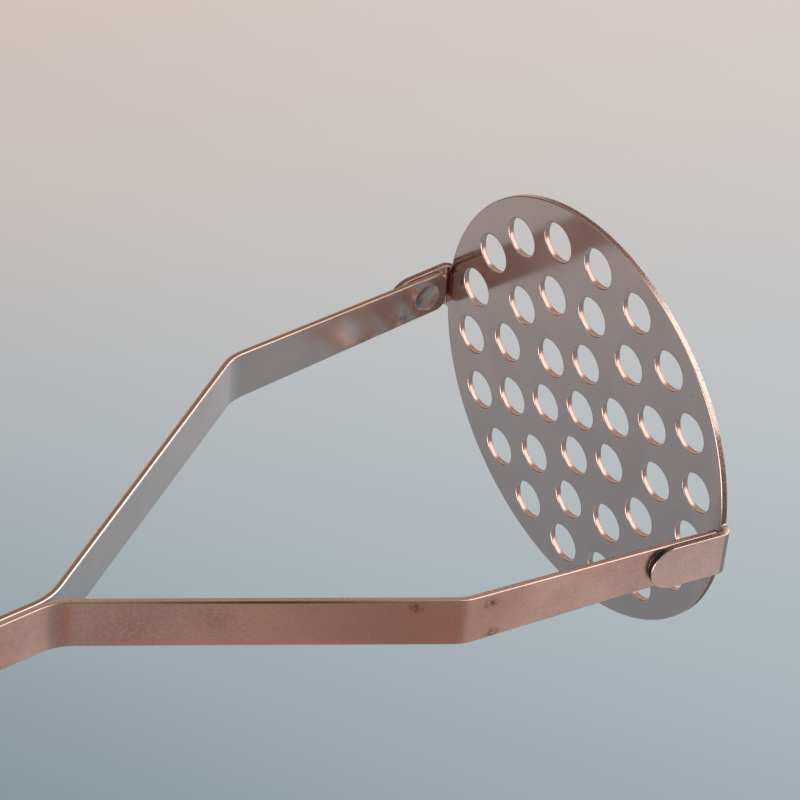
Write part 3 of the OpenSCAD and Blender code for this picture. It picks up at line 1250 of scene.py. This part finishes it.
@dataclass
class Handle:
    """The two wooden scales, their rivets and the eyelet."""

    line: FrameLine
    start: float = 140.0 * MM
    length: float = 112.0 * MM
    width: float = 25.0 * MM
    thickness: float = 9.5 * MM
    back_radius: float = 15.0 * MM
    crown_radius: float = 620.0 * MM
    heel_radius: float = 7.0 * MM
    round_over: float = 2.1 * MM
    crown_soft: float = 1.6 * MM
    grid: tuple[int, int] = (36, 110)
    sharp_angle: float = 38.0
    pocket_width: float = 11.0 * MM
    pocket_end: float = 230.1 * MM
    pocket_below: float = 1.0 * MM
    bore_steps: int = 48
    rivet_count: int = 3
    rivet_first: float = 15.0 * MM
    rivet_pitch: float = 30.0 * MM
    rivet_head_radius: float = 4.0 * MM
    rivet_head_height: float = 1.5 * MM
    rivet_shoulder: float = 0.75 * MM
    rivet_dome: float = 0.32 * MM
    rivet_round: float = 0.25 * MM
    rivet_tube_radius: float = 2.2 * MM
    rivet_pin_radius: float = 1.3 * MM
    rivet_pin_past: float = 2.0 * MM
    rivet_play: float = 0.02 * MM
    rivet_edge: float = 0.06 * MM
    eyelet_back: float = 12.0 * MM
    eyelet_bore: float = 2.7 * MM
    eyelet_wall: float = 0.7 * MM
    eyelet_rim: float = 1.9 * MM
    eyelet_rim_height: float = 0.9 * MM
    eyelet_edge: float = 0.08 * MM
    eyelet_sharp: float = 50.0
    eyelet_steps: int = 72
    gap: float = 0.05 * MM

    @property
    def end(self) -> float:
        """The height of the handle's upper end."""
        return self.start + self.length

    @property
    def eyelet_height(self) -> float:
        """The height of the hanging hole."""
        return self.end - self.eyelet_back

    def crown(self, z: float) -> float:
        """Returns the height of a scale's back over the middle plane, along its middle line."""
        middle = self.start + self.length / 2
        return self.thickness - self.crown_radius + math.sqrt(self.crown_radius**2 - (z - middle) ** 2)

    def rivet_heights(self) -> list[float]:
        """Returns the rivets' heights."""
        return [self.start + self.rivet_first + i * self.rivet_pitch for i in range(self.rivet_count)]

    def _half_width(self, z: float) -> float:
        """Returns half the handle's width at a height."""
        top, heel = self.width / 2, self.heel_radius
        over_top = z - (self.end - top)
        under_heel = self.start + heel - z
        if over_top > 0:
            return math.sqrt(max(top**2 - over_top**2, 0.0))
        if under_heel > 0:
            return top - heel + math.sqrt(max(heel**2 - under_heel**2, 0.0))
        return top

    def _from_edge(self, y: float, z: float) -> float:
        """Returns the distance from a point inside the handle's outline to the outline."""
        top, heel = self.width / 2, self.heel_radius
        across = abs(y)
        if z > self.end - top:
            return top - math.hypot(across, z - (self.end - top))
        if z < self.start + heel and across > top - heel:
            return heel - math.hypot(across - (top - heel), self.start + heel - z)
        return min(top - across, z - self.start)

    def _on_back(self, s: float, t: float) -> Vector:
        """Places a point of the unit square on a scale's back.

        Args:
            s: from -1 to 1 across the scale.
            t: from -1 to 1 along it.

        Returns:
            The point, on the +X side of the middle plane.
        """
        z = self.start + self.length / 2 * (1 + math.sin(t * math.pi / 2))
        y = self._half_width(z) * math.sin(s * math.pi / 2)
        across = self.thickness - self.back_radius + math.sqrt(self.back_radius**2 - y**2)
        along = self.crown(z)
        overlap = max(self.crown_soft - abs(across - along), 0.0) / self.crown_soft
        x = min(across, along) - overlap**2 * self.crown_soft / 4
        inset = max(self.round_over - max(self._from_edge(y, z), 0.0), 0.0)
        x -= self.round_over - math.sqrt(max(self.round_over**2 - inset**2, 0.0))
        return Vector((x, y, z))

    def _pocket(self) -> bpy.types.Object:
        """Returns the closed shape of the tang's pocket on both sides of the middle plane."""
        shape = bmesh.new()
        bmesh.ops.create_cube(shape, size=1.0)
        low = self.start - self.pocket_below
        size = (2 * self.line.strap, self.pocket_width, self.pocket_end - low)
        bmesh.ops.scale(shape, verts=shape.verts[:], vec=size)
        middle = (self.line.shift, 0.0, (low + self.pocket_end) / 2)
        bmesh.ops.translate(shape, verts=shape.verts[:], vec=middle)
        return keep("pocket", shape, ())

    def _bore(self, z: float, radius: float, head_radius: float, seat: float) -> bpy.types.Object:
        """Returns the closed shape of a hole through both scales with its two head recesses."""
        far = 2 * self.thickness
        profile = [
            (0.0, -far),
            (head_radius, -far),
            (head_radius, -seat),
            (radius, -seat),
            (radius, seat),
            (head_radius, seat),
            (head_radius, far),
            (0.0, far),
        ]
        return keep("bore", lathe(profile, Vector((self.line.shift, 0.0, z)), self.bore_steps), ())

    def build_scale(self, side: Side, wood: Finish) -> bpy.types.Object:
        """Builds one scale.

        Args:
            side: which scale it is.
            wood: its finish.

        Returns:
            The finished piece.
        """
        shape = bmesh.new()
        bmesh.ops.create_grid(shape, x_segments=self.grid[0], y_segments=self.grid[1], size=1.0)
        for vert in shape.verts:
            vert.co = self._on_back(vert.co.x, vert.co.y)
        bmesh.ops.remove_doubles(shape, verts=shape.verts[:], dist=TOUCHING)
        skirt = bmesh.ops.extrude_edge_only(shape, edges=rim_of(shape))["geom"]
        bmesh.ops.scale(shape, verts=only(bmesh.types.BMVert, skirt), vec=(0.0, 1.0, 1.0))
        bmesh.ops.contextual_create(shape, geom=rim_of(shape))
        bmesh.ops.scale(shape, verts=shape.verts[:], vec=(side.value, 1.0, 1.0))
        bmesh.ops.translate(shape, verts=shape.verts[:], vec=(self.line.shift, 0.0, 0.0))
        bmesh.ops.recalc_face_normals(shape, faces=shape.faces[:])
        name = f"{side.name.lower()}_scale"
        piece = keep(f"{name}_wood", shape, (wood.material(),))
        cutters = [self._pocket()]
        for z in self.rivet_heights():
            seat = self.crown(z) - self.rivet_head_height
            cutters.append(
                self._bore(z, self.rivet_tube_radius + self.gap, self.rivet_head_radius + self.gap, seat)
            )
        barrel = self.eyelet_bore + self.eyelet_wall
        seat = self.crown(self.eyelet_height) - self.eyelet_rim_height
        cutters.append(
            self._bore(self.eyelet_height, barrel + self.gap, barrel + self.eyelet_rim + self.gap, seat)
        )
        cut_away(piece, cutters)
        piece.data.shade_smooth()
        piece.data.set_sharp_from_angle(angle=math.radians(self.sharp_angle))
        return seated(piece, Slot.HANDLE, name)

    def _head(self, seat: float) -> list[tuple[float, float]]:
        """Returns a rivet head's profile from its rim to its middle, with a slight dome."""
        top = seat + self.rivet_head_height
        radius = self.rivet_head_radius
        dome = []
        for turn in map(math.radians, range(15, 90, 12)):
            drop = self.rivet_dome * (1 - math.sin(turn)) + self.rivet_round * math.cos(turn) ** 8
            dome.append((radius * math.cos(turn), top - drop))
        return [(radius, seat), (radius, top - self.rivet_shoulder), *dome, (0.0, top)]

    def build_rivet(self, number: int) -> list[bpy.types.Object]:
        """Builds one rivet's two halves.

        Args:
            number: the rivet's number, from 1.

        Returns:
            The post with its tube and the cap with its pin.
        """
        z = self.rivet_heights()[number - 1]
        centre = Vector((self.line.shift, 0.0, z))
        steel = TurnedSteel(f"rivet_polish_{number}", tuple(centre))
        seat = self.crown(z) - self.rivet_head_height
        floor = self.rivet_pin_past + self.rivet_play
        bore = self.rivet_pin_radius + self.rivet_play
        tube = self.rivet_tube_radius
        post = [(0.0, floor), (bore, floor), (bore, -seat), (tube, -seat), (tube, seat), *self._head(seat)]
        pin = self.rivet_pin_radius
        cap = [(0.0, -self.rivet_pin_past), (pin, -self.rivet_pin_past), (pin, seat), *self._head(seat)]
        made = []
        for kind, profile, way in (("post", post, 1.0), ("cap", cap, -1.0)):
            turned = lathe([(radius, way * along) for radius, along in profile], centre)
            piece = keep(f"rivet_{kind}_{number}_steel", turned, (steel.material(),))
            round_edges(piece, self.rivet_edge)
            made.append(seated(piece, Slot.RIVET, f"rivet_{kind}_{number}"))
        return made

    def build_eyelet(self) -> bpy.types.Object:
        """Builds the flared eyelet that lines the hanging hole."""
        centre = Vector((self.line.shift, 0.0, self.eyelet_height))
        bore, barrel = self.eyelet_bore, self.eyelet_bore + self.eyelet_wall
        rim = barrel + self.eyelet_rim
        top = self.crown(self.eyelet_height)
        seat = top - self.eyelet_rim_height
        lip = [
            (barrel, seat),
            (rim, seat),
            (rim, seat + 0.25 * MM),
            (rim - 0.5 * MM, seat + 0.62 * MM),
            (barrel + 0.35 * MM, top - 0.03 * MM),
            (barrel - 0.1 * MM, top),
            (bore + 0.22 * MM, top - 0.16 * MM),
            (bore, top - 0.6 * MM),
        ]
        profile = lip + [(radius, -along) for radius, along in reversed(lip)]
        steel = TurnedSteel("eyelet_polish", tuple(centre))
        piece = keep("hanging_eyelet", lathe(profile, centre, self.eyelet_steps), (steel.material(),))
        round_edges(piece, self.eyelet_edge, angle=self.eyelet_sharp)
        return seated(piece, Slot.RIVET, "hang_eyelet")


# ---------------------------------------------------------------- floor, light and camera


@dataclass(frozen=True)
class Glow:
    """A soft region of the surroundings round a direction, with its inner and outer angle in degrees."""

    way: Point
    full: float
    fade: float
    color: Color


@dataclass(frozen=True)
class Lamp:
    """A soft rectangular lamp that the camera doesn't see: its size in metres and its power in watts."""

    name: str
    place: Point
    aim: Point
    size: tuple[float, float]
    power: float
    color: Color

    def build(self) -> bpy.types.Object:
        """Makes the lamp and returns it."""
        data = bpy.data.lights.new(self.name, "AREA")
        data.shape = "RECTANGLE"
        data.size, data.size_y = self.size
        data.energy = self.power
        data.color = self.color
        lamp = bpy.data.objects.new(self.name, data)
        bpy.context.scene.collection.objects.link(lamp)
        lamp.location = self.place
        lamp.rotation_mode = "QUATERNION"
        lamp.rotation_quaternion = (Vector(self.aim) - Vector(self.place)).to_track_quat("-Z", "Y")
        lamp.visible_camera = False
        return lamp


@dataclass
class Studio:
    """The pale floor, the soft surroundings, the lamps and the camera."""

    floor_height: float = -0.6
    floor_radius: float = 9.0
    floor_steps: int = 96
    floor_way: Point = (-0.603, 0.797, 0.0)
    floor_stops: tuple[tuple[float, Color], ...] = (
        (-0.56, (0.296, 0.386, 0.424)),
        (-0.40, (0.396, 0.467, 0.502)),
        (-0.22, (0.523, 0.549, 0.566)),
        (-0.06, (0.646, 0.596, 0.572)),
        (0.08, (0.727, 0.616, 0.579)),
        (0.35, (0.660, 0.550, 0.490)),
        (0.70, (0.600, 0.470, 0.390)),
    )
    floor_side: Point = (0.797, 0.603, 0.0)
    floor_side_gain: tuple[float, float, float, float] = (-2.4, 0.6, 0.856, 1.216)
    floor_side_steps: tuple[tuple[float, float, float], ...] = ((-0.7, -0.4, 0.15), (-0.35, 0.1, -0.36))
    floor_warm: Color = (0.42, 0.32, 0.275)
    floor_warm_reach: float = 0.7
    floor_warm_share: float = 0.9
    floor_shown: float = 0.85
    camera_place: Point = (0.35015, 0.41405, 0.31847)
    camera_look: Point = (-0.59091, -0.66085, -0.46272)
    camera_up: Point = (-0.56775, 0.74814, -0.34344)
    lens: float = 149.85
    sensor: float = 36.0
    clip: tuple[float, float] = (0.01, 50.0)
    base: Color = (0.42, 0.42, 0.43)
    glows: tuple[Glow, ...] = (
        Glow((0.70, -0.66, 0.27), 8.0, 15.5, (0.50, 0.26, 0.175)),
        Glow((0.36, -0.66, 0.66), 5.0, 15.0, (0.16, 0.115, 0.10)),
        Glow((0.56, -0.66, 0.50), 3.0, 9.0, (0.32, 0.325, 0.32)),
        Glow((0.75, 0.50, 0.36), 22.0, 36.0, (0.12, 0.09, 0.075)),
        Glow((-0.72, -0.66, 0.23), 6.0, 12.0, (0.06, 0.05, 0.045)),
        Glow((-0.86, -0.08, 0.50), 20.0, 31.0, (0.09, 0.07, 0.055)),
        Glow((-0.64, -0.58, 0.49), 3.0, 12.0, (0.54, 0.53, 0.52)),
        Glow((-0.46, -0.76, 0.42), 4.0, 16.0, (0.28, 0.35, 0.39)),
        Glow((-0.45, 0.70, -0.30), 15.0, 40.0, (0.30, 0.24, 0.19)),
        Glow((-0.16, 0.89, 0.42), 14.0, 26.0, (1.0, 0.93, 0.88)),
    )
    lamps: tuple[Lamp, ...] = (
        Lamp(
            "skirt_light",
            (0.221, 0.283, -0.229),
            (0.029, 0.037, 0.052),
            (0.73, 0.72),
            2.6,
            (1.0, 0.97, 0.93),
        ),
        Lamp("side_light", (0.50, -0.46, -0.10), (0.0, 0.0, 0.0), (0.50, 0.26), 0.20, (1.0, 0.66, 0.53)),
        Lamp("top_light", (0.5, -0.4, 1.5), (0.0, 0.0, 0.1), (1.0, 1.0), 14.0, (1.0, 1.0, 1.0)),
    )

    def build_camera(self) -> bpy.types.Object:
        """Makes the camera and returns it."""
        data = bpy.data.cameras.new("camera")
        data.sensor_width = self.sensor
        data.lens = self.lens
        data.clip_start, data.clip_end = self.clip
        camera = bpy.data.objects.new("camera", data)
        bpy.context.scene.collection.objects.link(camera)
        back, up = -Vector(self.camera_look).normalized(), Vector(self.camera_up).normalized()
        turn = Matrix((up.cross(back), up, back)).transposed()
        camera.matrix_world = Matrix.Translation(self.camera_place) @ turn.to_4x4()
        bpy.context.scene.camera = camera
        return camera

    def build_floor(self) -> bpy.types.Object:
        """Makes the pale floor, warmer at one side and cooler at the other, and returns it."""
        shape = bmesh.new()
        at = Matrix.Translation((0.0, 0.0, self.floor_height))
        bmesh.ops.create_circle(
            shape, cap_ends=True, segments=self.floor_steps, radius=self.floor_radius, matrix=at
        )
        material = bpy.data.materials.new("pale_floor")
        graph = Graph(material)
        along = graph.dot(graph.place(), self.floor_way)
        low, high = self.floor_stops[0][0], self.floor_stops[-1][0]
        share = graph.add("ShaderNodeMapRange", None, {"Value": along, "From Min": low, "From Max": high})
        stops = [((place - low) / (high - low), color) for place, color in self.floor_stops]
        color = graph.add("ShaderNodeValToRGB", {"stops": stops}, {"Fac": share}, "Color")
        aside = graph.dot(graph.place(), self.floor_side)
        near, far, least, most = self.floor_side_gain
        gain = graph.add(
            "ShaderNodeMapRange",
            None,
            {"Value": aside, "From Min": near, "From Max": far, "To Min": least, "To Max": most},
        )
        for start, end, change in self.floor_side_steps:
            gain = gain + graph.ramp(aside, start, end) * change
        color = graph.add("ShaderNodeVectorMath", {"operation": "SCALE"}, {0: color, "Scale": gain})
        warm = graph.ramp(aside, 0.0, self.floor_warm_reach) * self.floor_warm_share
        color = graph.blend(warm, color, self.floor_warm)
        paint = graph.add("ShaderNodeBsdfDiffuse", None, {"Color": color})
        shown = graph.add("ShaderNodeEmission", None, {"Color": color, "Strength": 1.0})
        direct = graph.add("ShaderNodeLightPath", output="Is Camera Ray")
        glossy = graph.add("ShaderNodeLightPath", output="Is Glossy Ray")
        seen = graph.compute("MAXIMUM", direct, glossy) * self.floor_shown
        graph.surface(graph.add("ShaderNodeMixShader", None, {0: seen, 1: paint, 2: shown}))
        floor = keep("floor", shape, (material,))
        return floor

    def build_world(self) -> None:
        """Makes the soft surroundings that the metal mirrors."""
        world = bpy.data.worlds.new("surroundings")
        bpy.context.scene.world = world
        graph = Graph(world)
        way = graph.add("ShaderNodeTexCoord", output="Generated")
        color: Input = self.base
        for glow in self.glows:
            near = graph.dot(way, tuple(Vector(glow.way).normalized()))
            full, none = math.cos(math.radians(glow.full)), math.cos(math.radians(glow.fade))
            color = graph.blend(graph.ramp(near, none, full), color, glow.color)
        camera = graph.add("ShaderNodeLightPath", output="Is Camera Ray")
        seen = graph.blend(camera, color, self.floor_stops[2][1])
        graph.surface(graph.add("ShaderNodeBackground", None, {"Color": seen, "Strength": 1.0}))

    def build(self) -> None:
        """Builds the whole studio."""
        self.build_camera()
        self.build_floor()
        self.build_world()
        for lamp in self.lamps:
            lamp.build()
        bpy.context.scene.view_settings.view_transform = "Standard"


# ---------------------------------------------------------------- this masher's own finishes, with painted highlights and shade


PLATE_LOOK = SheetLook(
    face=PlateSteel(),
    edge=ShearedEdge(
        "punched_edge",
        (0.62, 0.455, 0.42),
        (0.42, 0.30, 0.27),
        0.5 * MM,
        0.06,
        OuterRim(),
        (
            StainOrLight((47.0, 10.0, 0.6), 9.5, 0.6, (0.12, 0.08, 0.07)),
            # Painted highlight on the right ear's bend edge, beside the rim.
            StainOrLight((44.0, 4.9, 1.7), 2.0, 0.9, (0.80, 0.62, 0.56), ragged=False),
        ),
    ),
    back=RolledSteel(
        "plate_back",
        (0.69, 0.57, 0.53),
        (0.53, 0.41, 0.365),
        0.34,
        stains_and_light=(
            # Painted shade: a dark warm band along the right ear's outer bend, laid over its cool
            # reflection.
            StainOrLight((44.4, 0.0, 0.9), 2.5, 1.0, (0.33, 0.17, 0.12), (1.0, 0.1, 1.0), False),
        ),
    ),
    corner=RolledSteel("rim_corner", (0.72, 0.56, 0.51), (0.56, 0.42, 0.37), 0.2),
)
STRAP_INSIDE = RolledSteel(
    "strap_inside",
    (0.69, 0.53, 0.49),
    (0.58, 0.43, 0.395),
    0.15,
    speckle_share=0.9,
    stains_and_light=(
        # Painted highlights: a lighter, pinker reflection on the far strap's lower run.
        StainOrLight((-41.5, 0.0, 42.0), 25.0, 0.42, (1.0, 0.74, 0.67), ragged=False),
        StainOrLight((-41.6, 0.0, 26.0), 9.0, 0.7, (1.0, 0.84, 0.78), ragged=False),
        # Painted shade: darker towards the far strap's foot end, next to the plate.
        StainOrLight((-42.3, 0.0, 2.5), 10.0, 0.75, (0.31, 0.225, 0.195), ragged=False),
        # Painted reflection: the weld dish's lower half pale grey.
        StainOrLight((-42.4, -0.3, 5.0), 2.6, 0.8, (0.56, 0.54, 0.52), ragged=False),
        # Painted shadow on the weld dish's upper side.
        StainOrLight((-42.0, -0.6, 8.6), 1.9, 0.85, (0.14, 0.09, 0.07), ragged=False),
        StainOrLight((-41.9, 2.4, 11.0), 3.2, 0.5, (0.30, 0.20, 0.165)),
        StainOrLight((-41.7, -3.5, 12.5), 4.0, 0.75, (0.24, 0.16, 0.13)),
        StainOrLight((-41.6, -4.5, 20.0), 4.5, 0.45, (0.28, 0.19, 0.155)),
        StainOrLight((-41.6, 3.2, 24.0), 3.5, 0.15, (0.34, 0.23, 0.19)),
    ),
)
STRAP_OUTSIDE = RolledSteel(
    "strap_outside",
    (0.62, 0.47, 0.43),
    (0.46, 0.33, 0.295),
    0.3,
    stains_and_light=(
        # Painted reflection: darker, warmer zones on the near strap's long run and shoulder, and on the
        # merged tang.
        StainOrLight((29.0, 0.0, 62.0), 26.0, 0.62, (0.38, 0.235, 0.195), ragged=False),
        StainOrLight((36.0, 0.0, 47.0), 13.0, 0.5, (0.38, 0.24, 0.20), ragged=False),
        StainOrLight((-3.0, 0.0, 134.0), 24.0, 0.5, (0.36, 0.17, 0.11), ragged=False),
        # Painted shade across the straps' merge bend.
        StainOrLight((-2.5, 0.0, 114.0), 5.0, 0.45, (0.30, 0.19, 0.155), (1.0, 0.3, 1.0), False),
        StainOrLight((3.4, -1.0, 103.0), 11.0, 0.36, (0.31, 0.19, 0.15)),
        StainOrLight((11.5, 1.5, 90.0), 5.0, 0.4, (0.34, 0.21, 0.17)),
        StainOrLight((29.6, 3.8, 60.3), 2.0, 0.9),
        StainOrLight((35.1, 3.0, 48.0), 2.1, 0.95),
        StainOrLight((35.2, -4.6, 47.3), 2.4, 1.0),
        # Painted shadow: a thin dark line along the straps' outer faces by their +Y edge.
        StainOrLight((0.0, 5.25, 82.0), 0.5, 0.9, (0.08, 0.05, 0.04), (0.0, 1.0, 0.016), False),
        # Painted highlight: a thin light line along the straps' outer faces by their -Y edge.
        StainOrLight((0.0, -5.2, 82.0), 0.35, 0.8, (0.84, 0.66, 0.60), (0.0, 1.0, 0.011), False),
        # Painted shadow on the near strap beside the right ear's tip, in the gap between them.
        StainOrLight((40.9, 0.6, 15.7), 2.6, 0.9, (0.03, 0.02, 0.017), (1.0, 0.6, 1.0), False),
    ),
)
STRAP_LOOKS = {
    Side.RIGHT: SheetLook(
        face=STRAP_INSIDE,
        # Painted light: a lighter copy of the slit edge for the near strap.
        edge=ShearedEdge("lit_slit_edge", (0.62, 0.47, 0.42), (0.56, 0.42, 0.37), 0.1 * MM, 0.4),
        back=STRAP_OUTSIDE,
        corner=RolledSteel(
            "right_corner",
            (0.66, 0.50, 0.45),
            (0.50, 0.37, 0.32),
            0.2,
            stains_and_light=(
                # Painted shadow: a thin dark line along the corner by the +Y edge.
                StainOrLight((0.0, 5.25, 82.0), 0.6, 0.8, (0.10, 0.065, 0.05), (0.0, 1.0, 0.02), False),
            ),
        ),
    ),
    Side.LEFT: SheetLook(
        face=STRAP_INSIDE,
        # Painted shade: a darker copy of the slit edge for the far strap.
        edge=ShearedEdge("shaded_slit_edge", (0.36, 0.275, 0.225), (0.33, 0.25, 0.20), 0.1 * MM, 0.3),
        back=STRAP_OUTSIDE,
        corner=RolledSteel(
            "left_corner",
            (0.66, 0.50, 0.45),
            (0.54, 0.40, 0.35),
            0.25,
            stains_and_light=(
                # Painted highlight along the far strap's corners, between about 30 and 150 mm up.
                StainOrLight((0.0, 0.0, 90.0), 60.0, 1.0, (0.94, 0.83, 0.79), (0.0, 0.0, 1.0), False),
                # Painted shade on the far strap's corners towards the foot, below about 11 mm.
                StainOrLight((0.0, 0.0, -1.0), 12.0, 0.95, (0.25, 0.18, 0.15), (0.0, 0.0, 1.0), False),
            ),
        ),
    ),
}


# ---------------------------------------------------------------- the whole masher


def main() -> None:
    """Builds the studio and every piece."""
    logging.basicConfig(level=logging.INFO, format="%(name)s: %(message)s")
    Studio().build()
    line = FrameLine()
    MashPlate(line).build(PLATE_LOOK)
    for side in Side:
        Strap(line, side).build(STRAP_LOOKS[side])
    handle = Handle(line)
    wood = OiledWood()
    for side in Side:
        handle.build_scale(side, wood)
    for number in range(1, handle.rivet_count + 1):
        handle.build_rivet(number)
    handle.build_eyelet()


if __name__ == "__main__":
    main()
